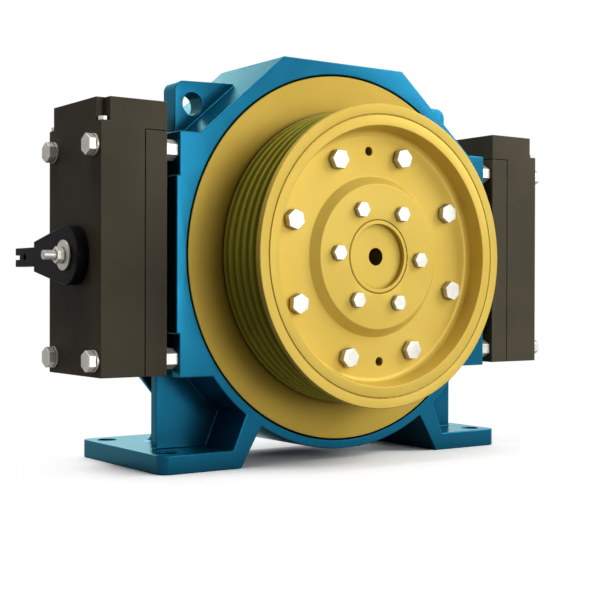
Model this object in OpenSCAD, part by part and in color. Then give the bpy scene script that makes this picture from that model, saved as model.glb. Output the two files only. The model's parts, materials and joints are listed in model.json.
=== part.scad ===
// Gearless elevator traction machine: grooved sheave on an outer-rotor motor,
// with two electromagnetic shoe brakes acting on the rotor drum.
// +X to the right seen from the sheave, +Y to the back, +Z up.
// Origin: centre of the four foot bolt holes, on the underside of the feet.

/* [Frame casting] */
// Height of the shaft axis above the base
axis_z = 283; // [276:1:300]
// Distance from the foot bolt centre to the frame's front face
front_y = 117.5; // [112:0.5:124]
// Depth of the barrel, front face to rear rim
barrel_depth = 160.5; // [158:0.5:170]
// Radius of the round lower part of the barrel
barrel_r = 268; // [265:1:272]
// Wall of the barrel round the opening that the rotor sits in
barrel_wall = 12.4; // [10:0.1:12.8]
// Height of the flat top above the shaft axis
top_h = 272; // [270:1:285]
// Half width of the flat top
top_half = 104; // [90:1:115]
// How far the brake mounting faces lie inside the barrel's radius
cheek_inset = 2; // [0:0.5:4]
// Half height of the brake mounting faces
cheek_h = 159; // [152:1:165]
// Half width where the sloped shoulders meet the mounting faces
shoulder_half = 235; // [225:1:240]
// Height of the raised pad around each brake window
pad_proud = 4.5; // [2:0.5:6]
// Thickness of the front plate
front_plate_t = 20; // [15:1:28]
// Thickness of the rear wall
rear_wall_t = 14; // [10:1:18]
// Depth of the rear wall's recess behind the rim
rear_recess = 12; // [6:1:16]
// Number of radial ribs on the rear wall
rear_ribs = 8; // [6:1:12]
// Thickness of the cast ribs
rib_t = 12; // [8:1:16]

/* [Feet] */
// Spacing of the foot bolt holes across the machine
foot_pitch_x = 534; // [526:1:540]
// Spacing of the foot bolt holes along the machine
foot_pitch_y = 176; // [160:1:186]
// Diameter of the foot bolt holes
foot_hole_d = 27; // [22:0.5:30]
// Thickness of the foot plate
foot_t = 25; // [20:1:30]
// Distance from the centre to the foot's outer end
foot_outer = 293; // [288:1:300]
// Distance from the centre to the foot's inner end
foot_inner = 171.5; // [164:0.5:176]
// Margin of the foot plate past the bolt holes, front and back
foot_margin = 29.5; // [24:0.5:34]
// Corner radius of the foot plate
foot_corner_r = 14; // [6:1:20]
// Thickness of the leg webs
web_t = 14; // [10:1:20]
// Half width over the front leg webs
web_half = 261; // [250:1:264]
// Depth of the front leg webs behind the front face
web_setback = 71.5; // [60:0.5:80]

/* [Lifting lugs] */
// Thickness of the lifting lugs
lug_t = 31.5; // [20:0.5:36]
// Distance of the lugs behind the front face
lug_setback = 60.5; // [50:0.5:70]
// Half width over the lugs
lug_half = 239.5; // [230:0.5:250]
// Height of the lugs above the shaft axis
lug_h = 235; // [226:1:240]
// Rise of the lugs' top towards the barrel
lug_rise = 3; // [0:0.5:8]
// Diameter of the lifting eye
lug_eye_d = 30; // [26:1:36]
// Sideways place of the lifting eye
lug_eye_x = 212; // [206:0.5:214]
// Height of the lifting eye above the shaft axis
lug_eye_h = 204.5; // [196:0.5:206]

/* [Traction sheave] */
// Outer diameter of the sheave's flange
sheave_d = 410; // [406:1:420]
// Pitch diameter of the ropes
rope_pitch_d = 400; // [396:1:402]
// Rope diameter
rope_d = 10; // [8:0.5:10.5]
// Number of rope grooves
groove_count = 5; // [3:1:5]
// Spacing of the rope grooves
groove_pitch = 16; // [13:0.5:16.5]
// Diameter over the lands between the grooves
land_d = 404; // [402:0.5:405]
// Width of the sheave
sheave_w = 93.5; // [93.5:0.5:96]
// Thickness of the sheave's front flange
flange_t = 9; // [6:0.5:10]
// Inner radius of the sheave's front ring
ring_r = 176; // [172:1:180]
// Depth from the ring's face to the web
web_depth = 28; // [22:0.5:34]
// Thickness of the sheave's web
sheave_web_t = 24; // [16:1:32]
// Radius of the raised hub face
hub_r = 98.5; // [94:0.5:102]
// Height of the raised hub above the web
hub_h = 11; // [6:0.5:16]

/* [Bolt circles] */
// Radius of the sheave bolts' circle
sheave_bolt_r = 143.4; // [138:0.1:147]
// Number of sheave bolts
sheave_bolts_n = 8; // [6:1:10]
// Turn of the sheave bolts' circle
sheave_turn = 3.8; // [0:0.1:8]
// Radius of the hub bolts' circle
hub_bolt_r = 70; // [66:0.5:76]
// Number of hub bolts
hub_bolts_n = 6; // [4:1:8]
// Diameter of the two jacking holes in the web
jack_hole_d = 12; // [8:0.5:14]

/* [Rotor] */
// Gap between the drum's disc and the barrel
drum_gap = 1.6; // [1.1:0.1:3.6]
// Thickness of the drum's front disc
disc_t = 20; // [16:1:22]
// Wall of the drum's rim
rim_t = 33; // [30:1:34]
// Width of the drum
drum_w = 127.5; // [120:0.5:129]
// Radius of the shaft's nose
nose_r = 50; // [46:0.5:53]
// Depth of the recess in the shaft's nose
nose_recess = 7.5; // [5:0.5:16]
// Diameter of the centre hole in the shaft's nose
centre_hole_d = 24; // [20:1:26]
// Radius of the shaft's bolting flange
shaft_flange_r = 96; // [90:1:102]
// Number of magnets
magnets_n = 20; // [16:2:24]
// Thickness of the magnets
magnet_t = 6; // [4:0.5:7]
// Air gap between magnets and stator
air_gap = 1; // [0.6:0.1:2]

/* [Stator and bearings] */
// Number of stator teeth
teeth_n = 24; // [18:3:27]
// Length of the stator core
core_l = 76; // [60:1:80]
// Outer radius of the bearing tube that carries the stator
tube_r = 118; // [112:1:122]
// Outside diameter of both bearings
bearing_d = 180; // [170:1:184]
// Bore of the front bearing
front_bore_d = 120; // [112:1:124]
// Bore of the rear bearing
rear_bore_d = 100; // [94:1:104]
// Width of the front bearing
front_bearing_w = 28; // [24:1:32]
// Width of the rear bearing
rear_bearing_w = 34; // [28:1:36]

/* [Brakes] */
// Depth of the magnet housings, across the machine
housing_t = 61.6; // [56:0.2:68]
// Gap between the frame's raised pads and the armature plates
brake_gap = 14.1; // [11:0.1:18]
// Thickness of the armature plates
armature_t = 31; // [26:1:34]
// Depth of the brakes along the shaft
brake_depth = 152.5; // [146:0.5:156]
// Height of the brake housings above the shaft axis
brake_top = 194; // [186:1:200]
// Reach of the brake housings below the shaft axis
brake_bottom = 155.5; // [152:0.5:158]
// Height of the armature plates above the shaft axis
armature_top = 156.4; // [152:0.2:158]
// Travel of the armature when the brake opens
stroke = 0.5; // [0.3:0.1:0.6]
// Spacing of the brake bolts along the shaft
brake_bolt_y = 119; // [114:0.5:121]
// Spacing of the brake bolts in height
brake_bolt_z = 269; // [262:0.5:275]
// Width of the corner notches
notch_x = 12.4; // [9:0.2:15]
// Depth of the corner notches
notch_y = 13.5; // [10:0.5:16]
// Height of the corner notches
notch_z = 30; // [22:1:34]
// Height of the brake shoes
shoe_h = 190; // [170:1:196]
// Width of the brake shoes
shoe_w = 84; // [70:1:90]
// Thickness of the brake lining
lining_t = 8; // [5:0.5:10]

/* [Release levers] */
// Radius of the lever's boss
lever_boss_r = 38; // [32:1:42]
// Thickness of the lever
lever_t = 15.6; // [10:0.2:18]
// Length of the lever's broad part
lever_neck_l = 97; // [86:1:106]
// Half width of the lever at its neck
lever_neck_half = 20; // [16:0.5:24]
// Length of the lever from pivot to tip
lever_l = 159; // [146:1:166]
// Width of the lever's fork end
fork_w = 25.5; // [20:0.5:30]
// Width of the cable slot in the fork end
fork_slot_w = 5.8; // [4:0.2:8]
// Length of the cable slot in the fork end
fork_slot_l = 14; // [8:1:18]
// Diameter of the cable pin's hole
fork_hole_d = 8; // [5:0.5:10]
// Distance from the pivot to the cable pin's hole
fork_hole_at = 127; // [118:1:134]
// Diameter of the release stud
stud_d = 12; // [10:0.5:13]
// Reach of the release studs past the magnet housings
stud_proud = 45.5; // [36:0.5:50]

/* [Rear fittings] */
// Width of the terminal box
box_w = 150; // [120:1:170]
// Height of the terminal box
box_h = 104; // [90:1:112]
// Depth of the terminal box
box_d = 62; // [50:1:70]
// Wall of the terminal box
box_wall = 4; // [3:0.5:6]
// Radius of the encoder's housing
encoder_r = 40; // [34:1:44]
// Length of the encoder's housing
encoder_l = 48; // [40:1:52]

/* [Hidden] */
// clearances
fit = 0.04;       // a bolt, ring or shaft in its own seat, per side
run = 0.3;        // pieces of different bodies that pass each other
loose = 0.6;      // a bolt or stud through a plain hole, per side
$fn = 96;
eps = 0.5;        // overshoot of a cut

// hexagon fasteners: [shank radius, width across flats, head height]
m16 = [8, 24, 10];
m12 = [6, 19, 7.5];
m8 = [4, 13, 5.3];
washer16 = [14, 3];     // radius, thickness

// places along the shaft, front to back
face_y = -front_y;                         // frame, drum and brake front
rear_y = face_y + barrel_depth;            // rear rim of the barrel
wall_y = rear_y - rear_recess;             // outer face of the rear wall
wall_in_y = wall_y - rear_wall_t;          // inner face of the rear wall
sheave_y = face_y - sheave_w;              // front of the sheave
web_front_y = sheave_y + web_depth;        // face of the sheave's web
hub_y = web_front_y - hub_h;               // face of the raised hub
disc_in_y = face_y + disc_t;               // back of the drum's disc
drum_end_y = face_y + drum_w;              // back of the drum's rim
shaft_flange_t = 20;
shaft_flange_y = disc_in_y + shaft_flange_t;
front_brg_y = shaft_flange_y + 7.5;        // front of the front bearing
tube_y = front_brg_y;                      // front of the bearing tube
boss_y = rear_y + 6;                       // rear of the bearing boss
rear_brg_y = boss_y - 10 - rear_bearing_w; // front of the rear bearing
core_y = wall_in_y - 17 - core_l;          // front of the stator core
cover_flange_t = 8;
cover_y = boss_y + cover_flange_t;         // back of the bearing cover's flange
cover_dome = 14;
dome_y = cover_y + cover_dome;             // back of the bearing cover's dome

// half widths
cheek_half = barrel_r - cheek_inset;       // brake mounting faces
armature_half = cheek_half + pad_proud + brake_gap;
magnet_face = armature_half + armature_t + stroke + run;
brake_half = magnet_face + housing_t;

// radii
bearing_r = bearing_d / 2;
opening_r = barrel_r - barrel_wall;        // opening that the rotor sits in
drum_r = opening_r - drum_gap;
magnet_or = drum_r - rim_t;
core_r = magnet_or - magnet_t - air_gap;
land_r = land_d / 2;
sheave_r = sheave_d / 2;

// brakes
brake_y = face_y + brake_depth / 2;
stud_y = brake_y - 6;                      // release stud and lever, a little off the middle
stud_h = -2;
stud_in = 20;                              // of the stud in the armature
stud_half = brake_half + stud_proud;
bolt_reach = 34;                           // of the brake bolts into the cheeks
bolt_end = cheek_half - bolt_reach;
lining_r = drum_r + run;
shoe_in = sqrt(pow(lining_r + lining_t, 2) - pow(shoe_h / 2, 2)) - 0.1; // tips of the shoe block
window_gap = 7;
window_in = 198;                           // inner end of the cut that makes the window
lever_face = brake_half + run;             // near side of the lever
lever_out = lever_face + lever_t;          // far side of the lever
coil_r = [43, 67];
coil_depth = 31;
spring_at = 100;
spring_r = 11;
spring_wire = 4;
spring_pocket_r = 14;
spring_pocket = 45;
spring_seat = 10;

sleeve_r = 11;                             // guide sleeves round the brake bolts
notch_screw_r = 3.5;
stud_washer_r = 19.5;
stud_washer_t = 3;
stud_nut_t = 10;
seam = 0.6;                                // line between the housing and the armature's top
pad_h = shoe_h / 2 + window_gap;           // half height of the raised pad and its window

// feet, legs and lugs
foot_half_y = foot_pitch_y / 2 + foot_margin;
foot_top_h = foot_t - axis_z;              // top of the foot plate, from the shaft axis
web_y = face_y + web_setback;
lug_y = face_y + lug_setback;
rear_leg_half = 221;
rear_leg_top = -138;
rear_leg_waist = -191;
strut_top_out = [164, -211];
strut_top_in = [145, -237];
strut_out = foot_inner + 12.5;             // outer foot of the slanted strut
strut_root = [120, -200];                  // corners buried in the barrel's wall
leg_root = [148, -205];
foot_lean = (foot_inner - strut_top_in[0]) / (strut_top_in[1] + axis_z); // slope of the feet's inner ends
web_root_x = 180;
lug_root = 148;                            // buried end of the lug's top edge
lug_buried = [[130, 200], [150, cheek_h - 1]];
lug_corner_r = 14;
cheek_cut = 21;                            // lower corners of the cheeks behind the front plate

// rotor, stator and rear end
drum_edge = 1.5;                           // chamfer of the drum's front edge
nose_wall = 5.6;
nose_edge = 1.5;                           // chamfers at the joint of nose and hub
front_balls = 14;
rear_balls = 11;
centre_hole_l = 50;
stub_r = 12;                               // shaft stub that turns the encoder
stub_l = 32;                               // its reach past the bearing cover
nut_w = 12;                                // width of the shaft's lock nut
nut_ring = 15;
nut_slot = [11, 6];                        // foot of the slots, their width
hub_turn = 0.6 - sheave_turn;              // turn of the hub bolts' circle
bolt_ring = [125, 162];                    // raised ring behind the sheave's web
ring_line = [189.4, 191.8];                // turned line round the ring's face
ring_line_t = 1.5;
ring_slope = 4;                            // lean of the ring's inner wall
sheave_fillet = 8;
sheave_edge = 1;                           // chamfer of the front flange
rim_gap = 1.5;                             // between the grooved rim and the drum
groove_side = 20;                          // degrees
core_seat_r = tube_r + 6;                  // step that the stator core stands against
tube_bore_r = bearing_r - 7;
slot_depth = 34;
slot_floor_r = core_r - slot_depth;
tooth_w = 28;
coil_build = 8.4;                          // thickness of a stator coil's side
rim_w = 20;                                // width of the barrel's rear rim
cover_r = tube_r - 2;
cover_screws_n = 6;
cover_screw_out = 14;                      // the screws' circle past the bearing
cover_screw_l = 16;
cover_screw_r = bearing_r + cover_screw_out;
dome_r = 75;
encoder_screws_n = 4;
encoder_wall = 3;
encoder_flange = [12, 5];                  // reach past the housing, thickness
encoder_disc = [14, 18];                   // the encoder rotor's ring and width
encoder_screw_r = 2.5;
encoder_screw_in = 5;
encoder_head = 4;
encoder_seat_y = dome_y + encoder_flange[1]; // back of the encoder's flange
box_margin = 32;                           // from the flat top down to the terminal box
box_low = top_h - box_margin - box_h;      // underside of the terminal box, above the shaft
box_post = 10;
lid_t = 5;
cable_hole_r = 12;
gland_thread_r = 9.5;
gland_bore_r = 6;
gland_flats = [26, 24];                    // of the body and the cap
gland_ring_r = 11.5;
gland_steps = [6, 12, 24];                 // ends of the body, ring and cap
gland_pitch = 44;

// ---- helpers ----

// turns a profile drawn as (radius, place along Y) about the shaft axis
module about_shaft() {
    translate([0, 0, axis_z]) rotate([-90, 0, 0]) rotate_extrude($fn = 180) children();
}

// a slab from y0 to y1 of an outline drawn as (X, height above the shaft axis)
module slab(y0, y1) {
    translate([0, y1, axis_z]) rotate([90, 0, 0]) linear_extrude(y1 - y0) children();
}

// a round bar along Y
module bar_y(r, y0, y1, x = 0, h = 0) {
    translate([x, y0, axis_z + h]) rotate([-90, 0, 0]) cylinder(r = r, h = y1 - y0);
}

// a round bar along X, on the right-hand side
module bar_x(r, x0, x1, y = 0, h = 0) {
    translate([x0, y, axis_z + h]) rotate([0, 90, 0]) cylinder(r = r, h = x1 - x0);
}

// a hexagon bar along X, on the right-hand side
module hex_x(flats, x0, x1, y = 0, h = 0) {
    translate([x0, y, axis_z + h]) rotate([0, 90, 0])
        cylinder(r = flats / sqrt(3), h = x1 - x0, $fn = 6);
}

// a hexagon bar along Y
module bar_y_hex(flats, y0, y1) {
    translate([0, y0, axis_z]) rotate([-90, 0, 0]) cylinder(r = flats / sqrt(3), h = y1 - y0, $fn = 6);
}

// a block given by its low and high corners, heights from the shaft axis
module block(low, high) {
    translate([low[0], low[1], axis_z + low[2]]) cube(high - low);
}

// copies round the shaft axis
module around(n, turn = 0) {
    for (i = [0 : n - 1]) translate([0, 0, axis_z]) rotate([0, -turn - i * 360 / n, 0])
        translate([0, 0, -axis_z]) children();
}

module both_sides() {
    children();
    mirror([1, 0, 0]) children();
}

// half section of a ring, with both outer edges chamfered
module ring_profile(r0, r1, y0, y1, edge = 0) {
    polygon([[r0, y0], [r1 - edge, y0], [r1, y0 + edge], [r1, y1 - edge], [r1 - edge, y1], [r0, y1]]);
}

// ---- frame ----

// round lower part and flat-topped upper part of the barrel
module barrel_outline() {
    circle(r = barrel_r, $fn = 180);
    polygon([[-shoulder_half, cheek_h], [-top_half, top_h], [top_half, top_h],
             [shoulder_half, cheek_h], [shoulder_half, 0], [-shoulder_half, 0]]);
}

// both brake cheeks, with their lower corners cut off by a given amount
module cheek_outline(cut) {
    polygon([[-cheek_half, cheek_h], [-cheek_half, cut - cheek_h], [cut - cheek_half, -cheek_h],
             [cheek_half - cut, -cheek_h], [cheek_half, cut - cheek_h], [cheek_half, cheek_h]]);
}

// slanted strut between the barrel and the inner end of a foot
module strut_outline() {
    polygon([strut_top_out, [strut_out, foot_top_h], [strut_out, -axis_z],
             [foot_inner, -axis_z], strut_top_in, strut_root, leg_root]);
}

module front_web_outline() {
    polygon([[web_half, 1 - cheek_h], [web_half, foot_top_h - 1],
             [strut_out - 3, foot_top_h - 1], leg_root, [web_root_x, 1 - cheek_h]]);
}

// rear leg web, flared where it stands on the foot
module rear_web_outline() {
    flare = 12;
    difference() {
        polygon([[cheek_half, rear_leg_top], [rear_leg_half, rear_leg_waist],
                 [rear_leg_half, foot_top_h + flare], [rear_leg_half + flare, foot_top_h],
                 [rear_leg_half + flare, foot_top_h - 1], [strut_out - 3, foot_top_h - 1],
                 leg_root, [web_root_x, rear_leg_top + 1], [cheek_half, rear_leg_top + 1]]);
        translate([rear_leg_half + flare, foot_top_h + flare]) circle(r = flare);
    }
}

// foot plate with rounded outer corners
module foot_plate() {
    r = foot_corner_r;
    linear_extrude(foot_t) {
        translate([strut_out - 8, -foot_half_y]) square([foot_outer - r - strut_out + 8, 2 * foot_half_y]);
        translate([strut_out - 8, r - foot_half_y])
            square([foot_outer - strut_out + 8, 2 * (foot_half_y - r)]);
        for (s = [-1, 1]) translate([foot_outer - r, s * (foot_half_y - r)]) circle(r = r);
    }
    // inner end behind the barrel
    translate([0, foot_half_y, axis_z]) rotate([90, 0, 0]) linear_extrude(foot_half_y - rear_y + 1)
        polygon([[strut_out, foot_top_h], [strut_out, -axis_z], [foot_inner, -axis_z],
                 [foot_inner - foot_t * foot_lean, foot_top_h]]);
}

// lifting lug with a rounded outer corner and a lifting eye
module lug() {
    r = lug_corner_r;
    difference() {
        slab(lug_y, lug_y + lug_t) {
            polygon([[lug_half, cheek_h - 1], [lug_half, lug_h - r], [lug_half - r, lug_h - r],
                     [lug_half - r, lug_h], [lug_root, lug_h + lug_rise], each lug_buried]);
            translate([lug_half - r, lug_h - r]) circle(r = r);
        }
        bar_y(lug_eye_d / 2, lug_y - eps, lug_y + lug_t + eps, lug_eye_x, lug_eye_h);
    }
}

// space inside the barrel, around the tube that carries the bearings and the stator
module motor_space() {
    about_shaft() polygon([[0, face_y - eps], [opening_r, face_y - eps], [opening_r, wall_in_y],
        [core_seat_r, wall_in_y], [core_seat_r, core_y + core_l], [tube_r, core_y + core_l],
        [tube_r, tube_y], [0, tube_y]]);
}

module bearing_bores() {
    seat_r = bearing_r + fit;
    about_shaft() polygon([[0, tube_y - eps], [seat_r, tube_y - eps], [seat_r, tube_y + front_bearing_w],
        [tube_bore_r, tube_y + front_bearing_w], [tube_bore_r, rear_brg_y], [seat_r, rear_brg_y],
        [seat_r, boss_y + eps], [0, boss_y + eps]]);
}

// recess in the rear wall, which leaves the rim, the ribs and the terminal box's pad standing
module rear_pocket() {
    difference() {
        bar_y(barrel_r - rim_w, wall_y, rear_y + eps);
        bar_y(tube_r, wall_y - 1, rear_y + 1);
        around(rear_ribs, 180 / rear_ribs) slab(wall_y - 1, rear_y + 1)
            translate([0, -rib_t / 2]) square([barrel_r, rib_t]);
        block([-box_w / 2, wall_y - 1, box_low], [box_w / 2, rear_y + 1, box_low + box_h]);
    }
}

module brake_bolt_places() {
    for (y = [-1, 1], z = [-1, 1])
        translate([0, brake_y + y * brake_bolt_y / 2, z * brake_bolt_z / 2]) children();
}

// window for the shoe and tapped holes for the brake bolts, in one cheek
module brake_cuts() {
    w = shoe_w / 2 + window_gap;
    block([window_in, brake_y - w, -pad_h], [cheek_half + pad_proud + eps, brake_y + w, pad_h]);
    brake_bolt_places() bar_x(m16[0] + fit, bolt_end - 1, cheek_half + eps);
}

module foot_hole_places() {
    for (x = [-1, 1], y = [-1, 1]) translate([x * foot_pitch_x / 2, y * foot_pitch_y / 2, 0]) children();
}

module box_screw_places() {
    for (x = [-1, 1], z = [-1, 1])
        translate([x * (box_w / 2 - box_post), 0, box_low + box_h / 2 + z * (box_h / 2 - box_post)])
            children();
}

module cover_screw_places() {
    around(cover_screws_n, 180 / cover_screws_n) translate([cover_screw_r, 0, 0]) children();
}

module frame_casting() {
    color("steelblue") difference() {
        union() {
            slab(face_y, rear_y) barrel_outline();
            block([-cheek_half, face_y, -cheek_h], [cheek_half, face_y + front_plate_t, cheek_h]);
            slab(face_y + front_plate_t - 1, rear_y) cheek_outline(cheek_cut);
            bar_y(tube_r, wall_in_y, boss_y);
            both_sides() {
                block([cheek_half - 1, face_y, -pad_h], [cheek_half + pad_proud, rear_y, pad_h]);
                lug();
                slab(face_y, rear_y) strut_outline();
                slab(-foot_half_y, face_y + 1) strut_outline();
                slab(web_y, web_y + web_t) front_web_outline();
                slab(rear_y - web_t, rear_y) rear_web_outline();
                foot_plate();
            }
        }
        motor_space();
        bearing_bores();
        rear_pocket();
        both_sides() brake_cuts();
        foot_hole_places() translate([0, 0, -eps]) cylinder(d = foot_hole_d, h = foot_t + 2 * eps);
        box_screw_places() bar_y(m8[0] + fit, rear_y - 16, rear_y + eps);
        bar_y(cable_hole_r, wall_in_y - eps, rear_y + eps, 0, box_low + box_h / 2);
        cover_screw_places() bar_y(m8[0] + fit, boss_y - 18, boss_y + eps);
    }
}

// ---- stator ----

module stator_core() {
    color("gray") slab(core_y, core_y + core_l) difference() {
        union() {
            circle(r = slot_floor_r);
            intersection() {
                circle(r = core_r);
                for (i = [0 : teeth_n - 1]) rotate(i * 360 / teeth_n)
                    translate([slot_floor_r - 5, -tooth_w / 2]) square([core_r, tooth_w]);
            }
        }
        circle(r = tube_r + fit);
    }
}

// one coil round every tooth
module stator_windings() {
    side = tooth_w / 2 + run;
    head = core_y - run;
    color("sienna") around(teeth_n) difference() {
        block([slot_floor_r + 4, head - coil_build, -side - coil_build],
              [core_r - 4, core_y + core_l + run + coil_build, side + coil_build]);
        block([slot_floor_r, head, -side], [core_r, core_y + core_l + run, side]);
    }
}

// ---- bearings ----

// ring of balls, with a groove for them in both rings
module ball_track(y, w, pitch_r, ball_r) {
    about_shaft() translate([pitch_r, y + w / 2]) circle(r = ball_r + fit, $fn = 48);
}

module balls(y, w, pitch_r, ball_r, n) {
    around(n) translate([pitch_r, y + w / 2, axis_z]) sphere(r = ball_r, $fn = 24);
}

module bearing_ring(y, w, r0, r1, pitch_r, ball_r) {
    difference() {
        about_shaft() translate([r0, y]) square([r1 - r0, w]);
        ball_track(y, w, pitch_r, ball_r);
    }
}

// pitch radius and ball radius of a bearing with a given bore
function ball_pitch(bore) = (bearing_r + bore / 2) / 2;
function ball_size(bore) = (bearing_r - bore / 2) * 0.28;

module front_bearing_outer() {
    p = ball_pitch(front_bore_d);
    b = ball_size(front_bore_d);
    color("silver") bearing_ring(front_brg_y, front_bearing_w, p + b - 1.5, bearing_r, p, b);
}

module front_bearing_inner() {
    p = ball_pitch(front_bore_d);
    b = ball_size(front_bore_d);
    color("silver") bearing_ring(front_brg_y, front_bearing_w, front_bore_d / 2 + fit, p - b + 1.5, p, b);
}

module front_bearing_balls() {
    p = ball_pitch(front_bore_d);
    color("silver") balls(front_brg_y, front_bearing_w, p, ball_size(front_bore_d), front_balls);
}

module rear_bearing_outer() {
    p = ball_pitch(rear_bore_d);
    b = ball_size(rear_bore_d);
    color("silver") bearing_ring(rear_brg_y, rear_bearing_w, p + b - 1.5, bearing_r, p, b);
}

module rear_bearing_inner() {
    p = ball_pitch(rear_bore_d);
    b = ball_size(rear_bore_d);
    color("silver") bearing_ring(rear_brg_y, rear_bearing_w, rear_bore_d / 2 + fit, p - b + 1.5, p, b);
}

module rear_bearing_balls() {
    p = ball_pitch(rear_bore_d);
    color("silver") balls(rear_brg_y, rear_bearing_w, p, ball_size(rear_bore_d), rear_balls);
}

// flanged cap whose spigot holds the rear bearing's outer ring
module rear_bearing_cover() {
    spigot_r = bearing_r - fit;
    spigot_y = rear_brg_y + rear_bearing_w;
    skin = 6;
    chamfer = 1.5;
    color("steelblue") difference() {
        about_shaft() difference() {
            polygon([[stub_r + 2, cover_y], [stub_r + 2, dome_y], [dome_r - 4, dome_y],
                [dome_r, dome_y - 4], [dome_r, cover_y], [cover_r - chamfer, cover_y],
                [cover_r, cover_y - chamfer], [cover_r, boss_y], [spigot_r, boss_y], [spigot_r, spigot_y],
                [spigot_r - 7, spigot_y], [spigot_r - 7, cover_y - 1], [dome_r - skin, cover_y - 1]]);
            square([dome_r - skin, dome_y - skin]);
        }
        cover_screw_places() bar_y(m8[0] + loose, boss_y - eps, cover_y + eps);
        encoder_screw_places() bar_y(encoder_screw_r + fit, dome_y - skin - eps, dome_y + eps);
    }
}

module bearing_cover_screws() {
    color("silver") cover_screw_places() {
        bar_y(m8[0], boss_y - cover_screw_l, cover_y);
        bar_y_hex(m8[1], cover_y, cover_y + m8[2]);
    }
}

// ---- encoder ----

module encoder_screw_places() {
    around(encoder_screws_n, 45) translate([encoder_r + encoder_flange[0] / 2, 0, 0]) children();
}

module encoder_housing() {
    color("dimgray") difference() {
        about_shaft() difference() {
            union() {
                translate([0, dome_y]) square([encoder_r + encoder_flange[0], encoder_flange[1]]);
                ring_profile(0, encoder_r, dome_y, dome_y + encoder_l, 2);
            }
            translate([0, dome_y - 1]) square([encoder_r - encoder_wall, encoder_l - encoder_wall + 1]);
        }
        encoder_screw_places() bar_y(encoder_screw_r + loose, dome_y - eps, encoder_seat_y + eps);
    }
}

module encoder_screws() {
    color("silver") encoder_screw_places() {
        bar_y(encoder_screw_r, dome_y - encoder_screw_in, encoder_seat_y);
        bar_y(encoder_screw_r * 1.8, encoder_seat_y, encoder_seat_y + encoder_head);
    }
}

module encoder_rotor() {
    color("silver") about_shaft() translate([stub_r + fit, dome_y + 10]) square(encoder_disc);
}

// ---- terminal box ----

module terminal_box() {
    y1 = rear_y + box_d - lid_t;
    mid = box_low + box_h / 2;
    color("dimgray") difference() {
        union() {
            difference() {
                block([-box_w / 2, rear_y, box_low], [box_w / 2, y1, box_low + box_h]);
                block([box_wall - box_w / 2, rear_y + box_wall, box_low + box_wall],
                      [box_w / 2 - box_wall, y1 + eps, box_low + box_h - box_wall]);
            }
            box_screw_places() bar_y(box_post - 1, rear_y + 1, y1);
        }
        box_screw_places() bar_y(m8[0] + loose, rear_y - eps, y1 + eps);
        bar_y(cable_hole_r, rear_y - eps, rear_y + box_wall + eps, 0, mid);
        gland_places() mirror([1, 0, 0])
            bar_x(gland_thread_r + fit, box_w / 2 - box_wall - eps, box_w / 2 + eps);
    }
}

module terminal_box_lid() {
    y0 = rear_y + box_d - lid_t;
    color("dimgray") difference() {
        block([-box_w / 2, y0, box_low], [box_w / 2, y0 + lid_t, box_low + box_h]);
        box_screw_places() bar_y(m8[0] + loose, y0 - eps, y0 + lid_t + eps);
    }
}

module terminal_lid_screws() {
    y1 = rear_y + box_d;
    color("silver") box_screw_places() {
        bar_y(m8[0], rear_y - 14, y1);
        bar_y(6.5, y1, y1 + 5);
    }
}

module gland_places() {
    for (z = [-1, 1])
        translate([0, rear_y + box_d / 2, box_low + box_h / 2 + z * gland_pitch / 2]) children();
}

module cable_glands() {
    x = box_w / 2;
    color("dimgray") gland_places() mirror([1, 0, 0]) difference() {
        union() {
            bar_x(gland_thread_r, x - box_wall - 5, x + 1);
            hex_x(gland_flats[0], x, x + gland_steps[0]);
            bar_x(gland_ring_r, x + gland_steps[0], x + gland_steps[1]);
            hex_x(gland_flats[1], x + gland_steps[1], x + gland_steps[2]);
        }
        bar_x(gland_bore_r, x - box_wall - 6, x + gland_steps[2] + 1);
    }
}

// ---- brakes, drawn on the right-hand side ----

module magnet_housing() {
    y1 = face_y + brake_depth;
    color([0.17, 0.16, 0.15]) difference() {
        union() {
            block([magnet_face, face_y, -brake_bottom], [brake_half, y1, brake_top]);
            block([armature_half, face_y, armature_top + seam], [magnet_face + 1, y1, brake_top]);
        }
        // corner notches with their screw holes
        for (y = [face_y - eps, y1 - notch_y]) block([brake_half - notch_x, y, brake_top - notch_z],
            [brake_half + eps, y + notch_y + eps, brake_top + eps]);
        housing_screw_places() translate([0, 0, axis_z + brake_top - notch_z - 18])
            cylinder(r = notch_screw_r + fit, h = 18 + eps);
        // coil groove round the middle pole
        difference() {
            bar_x(coil_r[1], magnet_face - eps, magnet_face + coil_depth, brake_y);
            bar_x(coil_r[0], magnet_face - 1, magnet_face + coil_depth + 1, brake_y);
        }
        spring_places() bar_x(spring_pocket_r, magnet_face - eps, magnet_face + spring_pocket);
        brake_bolt_places() bar_x(m16[0] + loose, magnet_face - eps, brake_half + eps);
        bar_x(stud_d / 2 + loose, magnet_face - eps, brake_half + eps, stud_y, stud_h);
    }
}

module housing_screw_places() {
    for (y = [face_y + notch_y / 2, face_y + brake_depth - notch_y / 2])
        translate([brake_half - notch_x / 2, y, 0]) children();
}

module spring_places() {
    for (s = [-1, 1]) translate([0, brake_y, s * spring_at]) children();
}

module housing_screws() {
    z = axis_z + brake_top - notch_z;
    color("silver") housing_screw_places() {
        translate([0, 0, z - 16]) cylinder(r = notch_screw_r, h = 16.5);
        translate([0, 0, z]) difference() {
            cylinder(r = 5.8, h = 5);
            translate([0, 0, 2]) cylinder(r = 2.9, h = 4, $fn = 6);
        }
    }
}

module brake_coil() {
    color("saddlebrown") difference() {
        bar_x(coil_r[1] - run, magnet_face + 1, magnet_face + coil_depth, brake_y);
        bar_x(coil_r[0] + run, magnet_face, magnet_face + coil_depth + 1, brake_y);
    }
}

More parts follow.
